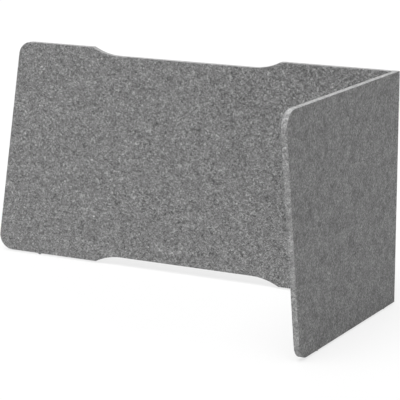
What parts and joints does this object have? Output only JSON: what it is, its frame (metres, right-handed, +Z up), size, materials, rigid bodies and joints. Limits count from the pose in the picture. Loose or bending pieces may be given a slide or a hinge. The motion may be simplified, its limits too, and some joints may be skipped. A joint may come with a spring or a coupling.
{
  "type": "acoustic divider screen",
  "caption": "L-shaped desk screen of felt-covered board: a long back panel with recessed top and bottom edges and a hinged wing, both with leaning rounded free ends.",
  "frame": {"origin": "middle of the footprint, on the surface that the feet stand on", "axes": "+X along the back panel from its free end to the corner, +Y from the inner face to the outer face of the back panel, +Z up; the wing runs from the corner towards -Y"},
  "size_m": [1.2086, 0.6486, 0.6045],
  "materials": {
    "felt": "heathered grey felt",
    "board": "raw wood-fibre board",
    "hinge_steel": "brushed",
    "screw_steel": "zinc-plated",
    "foot": "matt"
  },
  "bodies": {
    "back_panel": {"back_core": "board", "back_inner_facing": "felt", "back_outer_facing": "felt", "back_edge_band": "felt", "back_mitre_strip": "felt", "upper_hinge_back_leaf": "hinge_steel", "upper_hinge_pin": "screw_steel", "lower_hinge_back_leaf": "hinge_steel", "lower_hinge_pin": "screw_steel", "back_hinge_screws": "screw_steel", "back_end_foot": "foot", "back_corner_foot": "foot"},
    "wing": {"wing_core": "board", "wing_inner_facing": "felt", "wing_outer_facing": "felt", "wing_edge_band": "felt", "wing_mitre_strip": "felt", "upper_hinge_wing_leaf": "hinge_steel", "lower_hinge_wing_leaf": "hinge_steel", "wing_hinge_screws": "screw_steel", "wing_corner_foot": "foot", "wing_end_foot": "foot"}
  },
  "joints": [
    {"name": "wing_fold", "type": "hinge", "parent": "back_panel", "child": "wing", "pos_m": [0.58728, 0.30728, 0], "axis": [0, 0, -1], "range_deg": [0, 90]}
  ]
}
